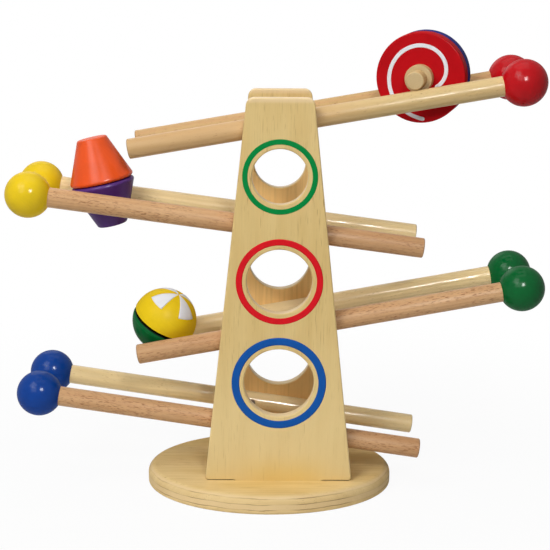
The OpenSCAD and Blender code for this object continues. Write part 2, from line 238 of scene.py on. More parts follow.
def put(node, inputs):
    """Gives a node's inputs their values or links."""
    for name, value in inputs.items():
        if isinstance(value, Wire):
            node.id_data.links.new(value.socket, node.inputs[name])
        else:
            node.inputs[name].default_value = value


def both_ways(operation):
    """An operator's plain and reflected methods, which add a Math node."""

    def plain(self, value):
        return self.maths(operation, self, value)

    def reflected(self, value):
        return self.maths(operation, value, self)

    return plain, reflected


class Wire:
    """One output of a shader tree. Sums, differences, products and quotients of it, with a
    number or another wire on either side, add Math nodes to the tree."""

    def __init__(self, tree, socket=None):
        self.tree = tree
        self.socket = socket

    def node(self, kind, settings, inputs, output=0):
        """Adds a node of this kind. Its settings are set first, then its inputs get their values
        or links."""
        made = self.tree.nodes.new(kind)
        for name, value in settings.items():
            setattr(made, name, value)
        put(made, inputs)
        return Wire(self.tree, made.outputs[output])

    def other(self, output):
        """Another output of the node that this wire leaves."""
        return Wire(self.tree, self.socket.node.outputs[output])

    def maths(self, operation, first, second=0.0):
        """A Math node on two values."""
        return self.node("ShaderNodeMath", {"operation": operation}, {0: first, 1: second})

    __add__, __radd__ = both_ways("ADD")
    __sub__, __rsub__ = both_ways("SUBTRACT")
    __mul__, __rmul__ = both_ways("MULTIPLY")
    __truediv__, __rtruediv__ = both_ways("DIVIDE")

    def __abs__(self):
        return self.maths("ABSOLUTE", self)


def between(value, low, high):
    """0 below low, 1 above high and a smooth rise from one to the other."""
    return value.node(
        "ShaderNodeMapRange",
        {"interpolation_type": "SMOOTHSTEP"},
        {"Value": value, "From Min": low, "From Max": high},
    )


def spread(share, low, high):
    """Low where share is 0, high where it is 1."""
    return share * (high - low) + low


def blend(share, first, second):
    """The first colour where share is 0, the second where it is 1."""
    shown = [c if isinstance(c, Wire) else (*c, 1.0) for c in (first, second)]
    return share.node("ShaderNodeMix", {"data_type": "RGBA"}, {0: share, 6: shown[0], 7: shown[1]}, 2)


def shaded(shown, amount):
    """A colour made lighter or darker by an amount round 1."""
    settings = {"data_type": "RGBA", "blend_type": "MULTIPLY"}
    return amount.node("ShaderNodeMix", settings, {0: 1.0, 6: shown, 7: amount}, 2)


def times(values, factor):
    """A plain colour or vector times a number."""
    return [value * factor for value in values]


def components(vector):
    """X, Y and Z of a vector."""
    x = vector.node("ShaderNodeSeparateXYZ", {}, {"Vector": vector})
    return x, x.other("Y"), x.other("Z")


def begin(name):
    """A new material, its shader and a wire of its Object coordinates."""
    material = bpy.data.materials.new(name)
    material.use_nodes = True
    shader = material.node_tree.nodes["Principled BSDF"]
    place = Wire(material.node_tree).node("ShaderNodeTexCoord", {}, {}, "Object")
    return material, shader, place


def millimetres(place, centre=(0, 0, 0), turn=(0, 0, 0)):
    """Object coordinates as millimetres from a centre, along axes turned by Euler angles."""
    return place.node(
        "ShaderNodeMapping",
        {"vector_type": "TEXTURE"},
        {"Vector": place, "Location": centre, "Rotation": turn, "Scale": (MM, MM, MM)},
    )


def connect(shader, shown, roughness, height, depth):
    """Feeds a shader its colour, its roughness and a bump whose depth is in millimetres."""
    relief = {"Height": height, "Strength": 1.0, "Distance": depth * MM}
    bump = height.node("ShaderNodeBump", {}, relief)
    put(shader, {"Base Color": shown, "Roughness": roughness, "Normal": bump})


def lacquer(shader, coat, dull, specular):
    """Clear coat over a shader, as thick and as dull as given, and the gleam of what is below."""
    put(shader, {"Coat Weight": coat, "Coat Roughness": dull, "Specular IOR Level": specular})


# Noises and finishes


class Noise(NamedTuple):
    """A noise: its cells' size in millimetres along local X and across it, its detail, a number
    added to a material's seed so that its noises differ, and the heights that become 0 and 1."""

    along: float
    across: float
    detail: float = 2.0
    shift: float = 0.0
    cut: tuple = ()


# How far one step of a seed moves a noise along each axis, in cells
SEED_STEP = (3.7, 1.9, 5.3)


def grain(mm, noise, seed):
    """A noise from 0 to 1 at a place in millimetres."""
    offset = seed + noise.shift
    placed = mm.node(
        "ShaderNodeMapping",
        {"vector_type": "POINT"},
        {
            "Vector": mm,
            "Location": times(SEED_STEP, offset),
            "Scale": (1 / noise.along, 1 / noise.across, 1 / noise.across),
        },
    )
    inputs = {"Vector": placed, "Scale": 1.0, "Detail": noise.detail}
    value = mm.node("ShaderNodeTexNoise", {}, inputs)
    return between(value, *noise.cut) if noise.cut else value


# Depth of the noise over which a fleck's edge fades
FLECK_EDGE = 0.10


def fleck_noise(along, across, height):
    """A noise that shows as flecks of a length and width where it passes a height."""
    return Noise(along, across, detail=1.0, shift=7, cut=(height, height + FLECK_EDGE))


class Figure(NamedTuple):
    """Figure of a wood: its pith's place across the grain and the spacing of its growth rings, in
    millimetres, how vivid the late growth is, and the noise of its flecks."""

    pith: tuple
    spacing: float
    vivid: float
    flecks: Noise


VENEER_FIGURE = Figure(pith=(55, 38), spacing=4.4, vivid=0.16, flecks=fleck_noise(18, 0.5, 0.635))
TURNED_FIGURE = Figure(pith=(3, 5), spacing=1.9, vivid=0.35, flecks=fleck_noise(2.6, 0.4, 0.62))

# Growth rings: the noise of their sway, and its reach in spacings
RING_SWAY = Noise(110, 16)
RING_SWAY_REACH = 2.4


def wave(value, spacing):
    """A sine from 0 to 1 that repeats at a spacing."""
    return value.maths("SINE", value * (2 * math.pi / spacing)) * 0.5 + 0.5


def rings(mm, figure, seed):
    """Growth rings round a pith line along local X, 0 in early wood and 1 in late wood. The
    distance from the pith sways with a long noise and is wrapped by a sine."""
    _, y, z = components(mm)
    y = y - figure.pith[0]
    z = z - figure.pith[1]
    sway = (grain(mm, RING_SWAY, seed) - 0.5) * (figure.spacing * RING_SWAY_REACH)
    return wave(mm.maths("SQRT", y * y + z * z) + sway, figure.spacing)


# Wood: its noises, the shares of its marks, its roughness and its relief
MOTTLE = Noise(80, 16, detail=1.0, shift=3, cut=(0.3, 0.7))
MOTTLE_SHARE = 0.7
FIBRE = Noise(30, 0.5, detail=3.0, shift=5)
FIBRE_SHADE = (0.92, 1.08)
FIBRE_ROUGHNESS = (0.30, 0.48)
GATHERINGS = Noise(40, 7, detail=1.0, shift=9, cut=(0.36, 0.62))
FLECK_SHARE = (0.15, 0.75)
FLECK_ROUGHNESS = 0.12
FIBRE_RELIEF = 0.6
RING_RELIEF = 0.2
FLECK_RELIEF = 0.7


def timber(mm, tones, figure, seed):
    """Colour, roughness and height of wood whose grain runs along local X. The late growth and a
    broad mottle darken the first tone to the second, fine fibres shade it, and flecks, which
    show more where they gather, take the third."""
    light, dark, spot = tones
    growth = rings(mm, figure, seed)
    mottle = grain(mm, MOTTLE, seed)
    fibre = grain(mm, FIBRE, seed)
    dashes = grain(mm, figure.flecks, seed)
    gathered = grain(mm, GATHERINGS, seed)
    late = growth * figure.vivid + mottle * ((1 - figure.vivid) * MOTTLE_SHARE)
    shown = blend(late, light, dark)
    shown = shaded(shown, spread(fibre, *FIBRE_SHADE))
    shown = blend(dashes * spread(gathered, *FLECK_SHARE), shown, spot)
    roughness = spread(fibre, *FIBRE_ROUGHNESS) + dashes * FLECK_ROUGHNESS
    height = fibre * FIBRE_RELIEF + growth * RING_RELIEF - dashes * FLECK_RELIEF
    return shown, roughness, height


# Ply: depths and widths are shares of its thickness, and PLY_CHANGE cuts a cosine of the depth
FACE_ENDS = (0.015, 0.10)
PLY_WAVES = Noise(24, 20, detail=4.0, shift=4)
PLY_WAVE_REACH = 0.18
PLY_CHANGE = (-0.12, 0.12)
CORE_SHARE = (0.35, 0.75)
CORE_SPECKS = Noise(0.7, 0.7, shift=8)
CORE_SPECK_SHARE = (0.6, 1.2)
GLUE_HALF_WIDTH = (0.008, 0.03)
GLUE_BREAKS = Noise(30, 24, shift=6, cut=(0.36, 0.66))
GLUE_SHARE = (0.1, 0.8)
GLUE_GROOVE = 1.2


class Ply(NamedTuple):
    """A sheet of ply: its middle, the Euler angles that lay local X along its face grain, its
    first join and the step between joins as shares of its thickness, and a seed."""

    centre: tuple
    turn: tuple
    join: float
    step: float
    seed: float


def plywood(name, woods, face, ply, depth_of):
    """Lacquered plywood. Veneer of a tone covers the two faces. Inside, where the depth runs from
    0 on one face to 1 on the other, the plies show on the cut edges. Their joins sway with a long
    noise and carry a broken glue line."""
    material, shader, place = begin(name)
    mm = millimetres(place, ply.centre, ply.turn)
    tones = (face, woods.veneer_dark, woods.veneer_streak)
    shown, roughness, height = timber(mm, tones, VENEER_FIGURE, ply.seed)
    plain = millimetres(place)
    depth = depth_of(plain)
    inside = between(0.5 - abs(depth - 0.5), *FACE_ENDS)
    sway = (grain(plain, PLY_WAVES, ply.seed) - 0.5) * inside * PLY_WAVE_REACH
    from_join = depth + sway - ply.join
    half = ply.step / 2
    core = between(mm.maths("COSINE", (from_join - half) * (math.pi / ply.step)), *PLY_CHANGE)
    line = (1 - between(mm.maths("PINGPONG", from_join, half), *GLUE_HALF_WIDTH)) * inside
    broken = grain(plain, GLUE_BREAKS, ply.seed)
    specks = spread(grain(plain, CORE_SPECKS, ply.seed), *CORE_SPECK_SHARE)
    shown = blend(inside * spread(core, *CORE_SHARE) * specks, shown, woods.core)
    shown = blend(line * spread(broken, *GLUE_SHARE), shown, woods.glue)
    height = height - line * broken * GLUE_GROOVE
    return material, shader, place, shown, roughness, height


class Gloss(NamedTuple):
    """Finish of a paint: how thick and how dull its coat is, and its relief in millimetres."""

    coat: float
    dull: float
    uneven: float


END_BALL_GLOSS = Gloss(coat=0.23, dull=0.16, uneven=0.012)
DISC_GLOSS = Gloss(coat=0.10, dull=0.30, uneven=0.035)
ORANGE_GLOSS = Gloss(coat=0.45, dull=0.26, uneven=0.03)
PURPLE_GLOSS = Gloss(coat=0.40, dull=0.26, uneven=0.03)
YELLOW_HALF_GLOSS = Gloss(coat=0.12, dull=0.40, uneven=0.012)
GREEN_HALF_GLOSS = Gloss(coat=0.18, dull=0.2, uneven=0.01)

# Enamel: Euler angles that set its marks askew, its noises and how much they show
PAINT_TURN = (0.4, 0.7, 0.3)
PAINT_CLOUDS = Noise(16, 16)
PAINT_CLOUD_CUT = (0.3, 0.75)
PAINT_CLOUD_SHARE = 0.35
PAINT_CLOUD_TONE = 0.78
PAINT_PEEL = Noise(2.6, 2.6, detail=1.0, shift=2)
PAINT_RIDGES = Noise(22, 1.1, shift=4)
PAINT_RIDGE_SHADE = (0.95, 1.05)
PAINT_SPECKS = Noise(0.9, 0.9, detail=0.0, shift=6, cut=(0.78, 0.84))
PAINT_ROUGHNESS = (0.24, 0.34)
RIDGE_ROUGHNESS = 0.06
SPECK_ROUGHNESS = 0.2
PEEL_RELIEF = 0.25


def enamel(name, paint, gloss, seed, change=None):
    """Paint on turned wood under a clear coat: a soft unevenness of the colour, a faint orange
    peel, specks, and the grain of the wood that shows through as ridges. A change gets the
    coordinates and the colour, and gives back the colour."""
    material, shader, place = begin(name)
    mm = millimetres(place, turn=PAINT_TURN)
    cloud = grain(mm, PAINT_CLOUDS, seed)
    peel = grain(mm, PAINT_PEEL, seed)
    ridge = grain(mm, PAINT_RIDGES, seed)
    speck = grain(mm, PAINT_SPECKS, seed)
    uneven = between(cloud, *PAINT_CLOUD_CUT) * PAINT_CLOUD_SHARE
    shown = blend(uneven, paint, times(paint, PAINT_CLOUD_TONE))
    shown = shaded(shown, spread(ridge, *PAINT_RIDGE_SHADE))
    if change:
        shown = change(place, shown)
    roughness = spread(cloud, *PAINT_ROUGHNESS) + ridge * RIDGE_ROUGHNESS + speck * SPECK_ROUGHNESS
    connect(shader, shown, roughness, peel * PEEL_RELIEF + ridge - speck, gloss.uneven)
    lacquer(shader, gloss.coat, gloss.dull, specular=0.0)
    return material


# Euler angles that lay local X along the height
UPRIGHT = (0, -math.pi / 2, 0)

# Print: its noises and how much they show
PRINT_FIBRE = Noise(20, 0.5, detail=3.0)
PRINT_CLOUDS = Noise(9, 9, shift=1, cut=(0.45, 0.8))
PRINT_CLOUD_SHARE = 0.25
PRINT_CLOUD_TONE = 0.8
PRINT_ROUGHNESS = (0.32, 0.48)
PRINT_RELIEF = 0.02


def printed(name, paint, seed):
    """Printed paint, thinner and duller than the enamel, with the grain showing through."""
    material, shader, place = begin(name)
    mm = millimetres(place, turn=UPRIGHT)
    fibre = grain(mm, PRINT_FIBRE, seed)
    cloud = grain(mm, PRINT_CLOUDS, seed) * PRINT_CLOUD_SHARE
    shown = blend(cloud, paint, times(paint, PRINT_CLOUD_TONE))
    shown = shaded(shown, spread(fibre, *FIBRE_SHADE))
    connect(shader, shown, spread(fibre, *PRINT_ROUGHNESS), fibre, PRINT_RELIEF)
    lacquer(shader, coat=0.10, dull=0.25, specular=0.0)
    return material


class RailFinish(NamedTuple):
    """Finish of a rail: its early, late and fleck tones, the noise height past which flecks show,
    how thick its coat is, and the tone that its low end takes, with its share."""

    tones: tuple
    fleck_height: float
    coat: float
    low_tone: tuple
    low_share: float


# Rails: lengths are in millimetres, and the pith swings from rail to rail
RAIL_PITH = np.array([0.0, -9.0])
RAIL_PITH_SWING = np.array([5.0, 4.0])
RAIL_RING_SPACING = 2.7
RAIL_VIVID = 0.40
RAIL_FLECK = (4.2, 0.6)
RAIL_SEED_STEP = 2.3
RAIL_RELIEF = 0.09
RAIL_END = (1.3, 0.2)
RAIL_END_PORES = Noise(3, 0.5, shift=11)
RAIL_END_SHADE = (0.10, 0.40)
RAIL_END_ROUGHNESS = 0.2
RAIL_LOW_END = (-60, 60)
COAT_WEAR = Noise(14, 0.8, detail=3.0, shift=13, cut=(0.40, 0.62))


def end_grain(x, half, reach):
    """0 along a dowel and 1 on its two ends. It rises between two distances from an end."""
    return between(abs(x), half - reach[0], half - reach[1])


def rail_material(name, finish, node, seed):
    """Dowel in a finish. Its middle is the middle of the node's box, and its grain follows the
    longest direction of the node's points. The cut ends are darker, the coat is worn along the
    grain, and towards the low end another tone comes in."""
    corners = points(node)
    centre = (corners.min(axis=0) + corners.max(axis=0)) / 2
    along = np.linalg.svd(corners - corners.mean(axis=0), full_matrices=False)[2][0]
    along = unit(along * np.sign(along[0]))
    half = np.abs((corners - centre) @ along).max() / MM
    material, shader, place = begin(name)
    mm = millimetres(place, centre, axes_turn(along, BACK, np.cross(along, BACK)))
    pith = RAIL_PITH + RAIL_PITH_SWING * (math.cos(seed), math.sin(seed))
    marks = fleck_noise(*RAIL_FLECK, finish.fleck_height)
    figure = Figure(pith, RAIL_RING_SPACING, RAIL_VIVID, marks)
    shown, roughness, height = timber(mm, finish.tones, figure, seed * RAIL_SEED_STEP)
    x = components(mm)[0]
    end = end_grain(x, half, RAIL_END)
    pores = grain(mm, RAIL_END_PORES, seed)
    low = between(x * -np.sign(along[2]), *RAIL_LOW_END)
    shown = blend(low * finish.low_share, shown, finish.low_tone)
    shown = shaded(shown, 1 - end * spread(pores, *RAIL_END_SHADE))
    connect(shader, shown, roughness + end * RAIL_END_ROUGHNESS, height, RAIL_RELIEF)
    lacquer(shader, grain(mm, COAT_WEAR, seed) * finish.coat, dull=0.15, specular=0.1)
    return material


# Turned pieces: lengths are in millimetres
TURNED_END = (0.5, 0.1)
TURNED_END_SHARE = 0.55
TURNED_END_SHADE = 0.24
TURNED_ROUGHER = 0.10
TURNED_RELIEF = 0.06
TOOL_MARK_SPACING = 0.7
TOOL_MARK_RELIEF = 0.3
NEARLY_UPRIGHT = 0.9


def turned_wood(name, woods, centre, axis, node, seed):
    """Bare pale wood turned on an axis, its grain along it, with faint marks of the tool round it.
    The end grain on the node's two outer faces is darker."""
    side = unit(np.cross(axis, UP if abs(axis[2]) < NEARLY_UPRIGHT else BACK))
    material, shader, place = begin(name)
    mm = millimetres(place, centre, axes_turn(axis, side, np.cross(axis, side)))
    tones = (woods.pale, woods.pale_dark, woods.pale_fleck)
    shown, roughness, height = timber(mm, tones, TURNED_FIGURE, seed)
    x = components(mm)[0]
    end = end_grain(x, np.abs((points(node) - centre) @ axis).max() / MM, TURNED_END)
    shown = blend(end * TURNED_END_SHARE, shown, woods.core)
    shown = shaded(shown, 1 - end * TURNED_END_SHADE)
    height = height + wave(x, TOOL_MARK_SPACING) * TOOL_MARK_RELIEF
    connect(shader, shown, roughness + TURNED_ROUGHER, height, TURNED_RELIEF)
    lacquer(shader, coat=0.05, dull=0.3, specular=0.15)
    return material


# Meshes


def skin(name, grid, material, body, looped=False):
    """A closed piece from rings of points, grid[ring, point, xyz]. Each ring is joined to the
    next by quads. The last ring joins the first if looped, and both end rings are capped if not.
    The faces are turned outwards by the sign of the volume that they enclose."""
    ring_count, point_count = grid.shape[:2]
    index = np.arange(ring_count * point_count).reshape(ring_count, point_count)
    here = index if looped else index[:-1]
    there = np.roll(index, -1, axis=0)[: len(here)]
    quads = np.stack([here, np.roll(here, -1, axis=1), np.roll(there, -1, axis=1), there], axis=-1)
    quads = quads.reshape(-1, 4)
    faces = quads.tolist()
    if not looped:
        faces += [index[0, ::-1].tolist(), index[-1].tolist()]
    flat = grid.reshape(-1, 3)
    corners = flat[quads] - flat.mean(axis=0)
    volume = np.einsum("ij,ij->i", corners[:, 0], np.cross(corners[:, 1], corners[:, 2])).sum()
    volume += np.einsum("ij,ij->i", corners[:, 0], np.cross(corners[:, 2], corners[:, 3])).sum()
    mesh = bpy.data.meshes.new(name)
    mesh.from_pydata(flat.tolist(), [], faces if volume > 0 else [face[::-1] for face in faces])
    mesh.polygons.foreach_set("use_smooth", [True] * len(faces))
    mesh.materials.append(material)
    if mesh.validate():
        raise RuntimeError(f"{name} has faulty faces")
    piece = bpy.data.objects.new(name, mesh)
    bpy.context.scene.collection.objects.link(piece)
    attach(piece, body)


def film_section(count, hollow=0.0):
    """Closed section of a printed film as places across it from -1 to 1 and heights from 0 to 1:
    a top that falls to its edges in a sixth power, hollowed in its middle by a share of the height,
    and a flat underside."""
    across = np.linspace(-1, 1, count)
    top = (1 - across**6) * (1 - hollow * (1 - across**2) ** 2)
    return np.concatenate([across, across[-2:0:-1]]), np.concatenate([top, np.zeros(count - 2)])


# Base: the grain's turn and the joins of its plies, and the warmer patch at the tower's foot in millimetres
BASE_PLY = Ply(centre=(0, 0, 0), turn=(0, 0, 0.02), join=0.25, step=0.29, seed=31.0)
BASE_RELIEF = 0.08
BASE_WARM_ASIDE = (18, 62)
BASE_WARM_AHEAD = (6, 34)
BASE_WARM_SHARE = 0.25


class RAMP_TOY_OT_base(bpy.types.Operator):
    """Finish the oval base as lacquered plywood, its face grain from left to right"""

    bl_idname = "ramp_toy.base"
    bl_label = "Base"

    def execute(self, context):
        woods = context.scene.ramp_toy_timbers
        low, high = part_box("base")
        thick = (high.z - low.z) / MM

        def depth_of(mm):
            return components(mm)[2] / thick

        made = plywood("base_ply", woods, woods.veneer_base, BASE_PLY, depth_of)
        material, shader, place, shown, roughness, height = made
        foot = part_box("front_plate")
        from_foot = millimetres(place, ((foot[0].x + foot[1].x) / 2, foot[0].y, high.z))
        x, y, _ = components(from_foot)
        warm_patch = (1 - between(abs(x), *BASE_WARM_ASIDE)) * (1 - between(abs(y), *BASE_WARM_AHEAD))
        shown = blend(warm_patch * BASE_WARM_SHARE, shown, woods.veneer_warm)
        connect(shader, shown, roughness, height, BASE_RELIEF)
        lacquer(shader, coat=0.05, dull=0.25, specular=0.0)
        dress(material, "base")
        return {"FINISHED"}


# Plates: millimetres from the foot's middle, CUT_TOP from the top, INNER_DEPTH a share of the thickness
PLATE_GRAIN = (0, -math.pi / 2 + 0.012, 0)
PLATE_RELIEF = 0.08
# Painted light: heights over which the plates turn paler towards the foot, and its share
FOOT_LIGHT_HEIGHT = (30, 150)
FOOT_LIGHT_SHARE = 0.55
CUT_TOP = (5, 2)
CUT_TOP_SHARE = 0.75
# A warmer tone at the middle of the plates' foot: its place, reach, height and share
FOOT_WARM_MIDDLE = 6
FOOT_WARM_ASIDE = (8, 46)
FOOT_WARM_HEIGHT = (1, 28)
FOOT_WARM_SHARE = 0.6
INNER_DEPTH = (0.02, 0.06)
INNER_HEIGHT = (285, 300)
# Painted light: share of the warm bounce tone on the inner faces
INNER_BOUNCE_SHARE = 0.75
INNER_STREAKS = Noise(70, 2.2, detail=3.0, cut=(0.42, 0.68))
INNER_STREAK_SHARE = 0.2
# Painted shadow below the plates' corners: its heights, its reach to the side and its share
JOINT_SHADOW_HEIGHT = (0.5, 1.1)
JOINT_SHADOW_ASIDE = (34, 38)
JOINT_SHADOW_SHARE = 0.9

# Points across a printed ring and steps round it
RING_POINTS = 9
RING_STEPS = 192


def window_ring(marks, tag, middle, face, outward):
    """Points of a printed ring. The film's section, laid across the ring's width beyond the gap,
    is carried in a circle round the window's middle."""
    across, rise = film_section(RING_POINTS)
    turn = np.linspace(0, 2 * math.pi, RING_STEPS, endpoint=False)[:, None]
    half = getattr(marks, f"ring_width_{tag}") / 2
    radius = getattr(marks, f"window_radius_{tag}") + marks.ring_gap + half * (1 + across)
    return np.stack([
        middle + np.cos(turn) * radius,
        face + outward * marks.film * rise + 0 * turn,
        getattr(marks, f"window_height_{tag}") + np.sin(turn) * radius,
    ], axis=-1)


class RAMP_TOY_OT_plates(bpy.types.Operator):
    """Finish the two plates as lacquered plywood with upright grain, and print their rings"""

    bl_idname = "ramp_toy.plates"
    bl_label = "Plates and rings"

    def execute(self, context):
        front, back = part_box("front_plate"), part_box("back_plate")
        middle = (np.array(front[0]) + np.array(back[1])) / 2
        self.dress_plates(context.scene.ramp_toy_timbers, front, back, middle)
        paints, marks = context.scene.ramp_toy_paints, context.scene.ramp_toy_marks
        faces = (("front", front[0].y, -1), ("back", back[1].y, 1))
        for tag, slot in RING_SLOTS.items():
            ink = printed(f"ring_{tag}_print", getattr(paints, f"ring_{tag}"), seed=3.0)
            for side, face, outward in faces:
                grid = window_ring(marks, tag, middle[0], face, outward)
                skin(f"{side}_{tag}_ring", grid, ink, "tower", looped=True)
        return {"FINISHED"}

    def dress_plates(self, woods, front, back, middle):
        """Ply whose depth runs from the inner faces, at 0, to the outer ones. It is painted paler towards
        the foot as painted light, shows its core on top and a warmer tone at the middle of the foot, takes
        a warm painted bounce light with grain streaks on the inner faces, and has a painted shadow line
        below its two corners."""
        thick = (front[1].y - front[0].y) / MM
        inner = (back[0].y - front[1].y) / 2 / MM

        def depth_of(mm):
            return (abs(components(mm)[1] - middle[1] / MM) - inner) / thick

        centre = (middle[0], middle[1], 0)
        sheet = Ply(centre, PLATE_GRAIN, join=0.14, step=0.24, seed=7.0)
        made = plywood("plate_ply", woods, woods.veneer, sheet, depth_of)
        material, shader, place, shown, roughness, height = made
        foot = (middle[0], middle[1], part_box("base")[1].z)
        top = (front[1].z - foot[2]) / MM
        x, _, z = components(millimetres(place, foot))
        # Painted light: the plates are made paler towards the foot
        pale = 1 - between(z, *FOOT_LIGHT_HEIGHT)
        shown = blend(pale * FOOT_LIGHT_SHARE, shown, woods.veneer_foot_light)
        cut_top = between(z, top - CUT_TOP[0], top - CUT_TOP[1])
        shown = blend(cut_top * CUT_TOP_SHARE, shown, woods.core)
        warm_aside = 1 - between(abs(x - FOOT_WARM_MIDDLE), *FOOT_WARM_ASIDE)
        warm_patch = warm_aside * (1 - between(z, *FOOT_WARM_HEIGHT))
        shown = blend(warm_patch * FOOT_WARM_SHARE, shown, woods.veneer_warm)
        # Painted light: below the top, the inner faces take a warm bounce tone with grain streaks
        inside = 1 - between(depth_of(millimetres(place)), *INNER_DEPTH)
        enclosed = 1 - between(z, *INNER_HEIGHT)
        streaks = grain(millimetres(place, turn=PLATE_GRAIN), INNER_STREAKS, seed=19.0)
        inner_bounce = blend(streaks * INNER_STREAK_SHARE, woods.veneer_inner_bounce, woods.veneer_streak)
        shown = blend(inside * enclosed * INNER_BOUNCE_SHARE, shown, inner_bounce)
        # Painted shadow: a dark line in the gap below the two corners
        below = 1 - between(z, *JOINT_SHADOW_HEIGHT)
        joint_shadow = below * between(abs(x), *JOINT_SHADOW_ASIDE)
        shown = blend(joint_shadow * JOINT_SHADOW_SHARE, shown, woods.joint)
        connect(shader, shown, roughness, height, PLATE_RELIEF)
        lacquer(shader, coat=0.10, dull=0.24, specular=0.2)
        dress(material, "front_plate", "back_plate")


class RAMP_TOY_OT_rails(bpy.types.Operator):
    """Finish the eight dowel rails: pinkish beech in front of light wood, lightened partly as painted
    light, and pale wood in front of tan on the top ramp"""

    bl_idname = "ramp_toy.rails"
    bl_label = "Rails"

    def execute(self, context):
        woods = context.scene.ramp_toy_timbers
        beech = (woods.beech, woods.beech_dark, woods.beech_fleck)
        pale = (woods.pale, woods.pale_dark, woods.pale_fleck)
        # Partly painted light: the lower rear rails' lighter tone is lightened further to offset the
        # tower's shade
        light = (woods.pale_lightened, woods.pale, woods.pale_fleck)
        tan = (woods.pale_dark, woods.beech_dark, woods.beech_fleck)
        top = {
            "front": RailFinish(
                pale, fleck_height=0.64, coat=0.16, low_tone=woods.beech_dark, low_share=0.5
            ),
            "rear": RailFinish(
                tan, fleck_height=0.60, coat=0.05, low_tone=woods.beech, low_share=0.3
            ),
        }
        lower = {
            "front": RailFinish(
                beech, fleck_height=0.55, coat=0.02, low_tone=woods.beech_fleck, low_share=0.2
            ),
            "rear": RailFinish(
                light, fleck_height=0.64, coat=0.66, low_tone=woods.pale_lightened, low_share=0.5
            ),
        }
        rails = [(ramp, side) for ramp in RAMPS for side in SIDES]
        for count, (ramp, side) in enumerate(rails, start=1):
            node = f"{ramp}_ramp_{side}_rail"
            finish = (top if ramp == RAMPS[0] else lower)[side]
            dress(rail_material(f"{node}_wood", finish, node, float(count)), node)
        return {"FINISHED"}


# Step of the seed from one ramp's balls to the next
END_BALL_SEED_STEP = 4.0


class RAMP_TOY_OT_end_balls(bpy.types.Operator):
    """Paint the eight balls on the rails' high ends"""

    bl_idname = "ramp_toy.end_balls"
    bl_label = "End balls"

    def execute(self, context):
        for count, ramp in enumerate(RAMPS):
            paint = getattr(context.scene.ramp_toy_paints, ramp)
            finish = enamel(f"{ramp}_enamel", paint, END_BALL_GLOSS, END_BALL_SEED_STEP * count)
            dress(finish, *[f"{ramp}_ramp_{side}_ball" for side in SIDES])
        return {"FINISHED"}


# Steel: its noises and how much they show
STEEL_BRUSHING = Noise(0.25, 0.25, detail=3.0)
STEEL_BRUSHING_ROUGHNESS = (0.2, 0.45)
STEEL_STAINS = Noise(2.5, 2.5, shift=4)
STEEL_STAIN_CUT = (0.4, 0.7)
STEEL_STAIN_SHARE = 0.5
STEEL_STAIN_TONE = 0.55
STEEL_STAIN_ROUGHNESS = 0.15
STEEL_RELIEF = 0.02


class RAMP_TOY_OT_screws(bpy.types.Operator):
    """Finish the screws in dull steel"""

    bl_idname = "ramp_toy.screws"
    bl_label = "Screws"

    def execute(self, context):
        steel = context.scene.ramp_toy_timbers.steel
        material, shader, place = begin("screw_steel")
        mm = millimetres(place)
        brushed = grain(mm, STEEL_BRUSHING, seed=1.0)
        stain = grain(mm, STEEL_STAINS, seed=1.0)
        stained = between(stain, *STEEL_STAIN_CUT) * STEEL_STAIN_SHARE
        shown = blend(stained, steel, times(steel, STEEL_STAIN_TONE))
        roughness = spread(brushed, *STEEL_BRUSHING_ROUGHNESS) + stain * STEEL_STAIN_ROUGHNESS
        connect(shader, shown, roughness, brushed, STEEL_RELIEF)
        put(shader, {"Metallic": 1.0})
        dress(material, "base_screws", *[f"{ramp}_ramp_screws" for ramp in RAMPS])
        return {"FINISHED"}


# Points across the spiral, steps along its middle line, the film and one rounded end
SPIRAL_POINTS = 13
SPIRAL_LINE_STEPS = 400
SPIRAL_STEPS = 180
SPIRAL_TIP_STEPS = 10
SPIRAL_TIP_START = 0.05
SPIRAL_HOLLOW = 0.7


def spiral(marks, middle, plane):
    """Points of a spiral stripe on a plane. Its middle line's distance from a point beside the
    disc's middle grows evenly with its direction. The film's section is carried along it, and
    within half a width of its two ends it narrows as a circle does."""
    half = marks.spiral_width / 2
    turn = np.linspace(marks.spiral_from, marks.spiral_to, SPIRAL_LINE_STEPS)
    radius = marks.spiral_start + marks.spiral_pitch * turn / (2 * math.pi)
    offset = (marks.spiral_right, marks.spiral_up)
    line = offset + radius[:, None] * np.stack([np.cos(turn), np.sin(turn)], axis=-1)
    run = np.concatenate([[0], np.cumsum(np.linalg.norm(np.diff(line, axis=0), axis=1))])
    tip = half * (1 - np.cos(np.linspace(SPIRAL_TIP_START, math.pi / 2, SPIRAL_TIP_STEPS)))
    body = np.linspace(half, run[-1] - half, SPIRAL_STEPS)[1:-1]
    places = np.concatenate([tip, body, run[-1] - tip[::-1]])
    line = np.stack([np.interp(places, run, line[:, i]) for i in (0, 1)], axis=-1)
    ahead = np.gradient(line, places, axis=0)
    ahead /= np.linalg.norm(ahead, axis=1)[:, None]
    left = np.stack([-ahead[:, 1], ahead[:, 0]], axis=-1)
    to_end = np.minimum(np.minimum(places, run[-1] - places) / half, 1)
    width = half * np.sqrt(1 - (1 - to_end) ** 2)
    across, rise = film_section(SPIRAL_POINTS, SPIRAL_HOLLOW)
    flat = line[:, None] + left[:, None] * (width[:, None] * across)[..., None]
    height = marks.film * (width / half)[:, None] * rise
    return middle + np.concatenate([flat, height[..., None]], axis=-1) @ plane.T


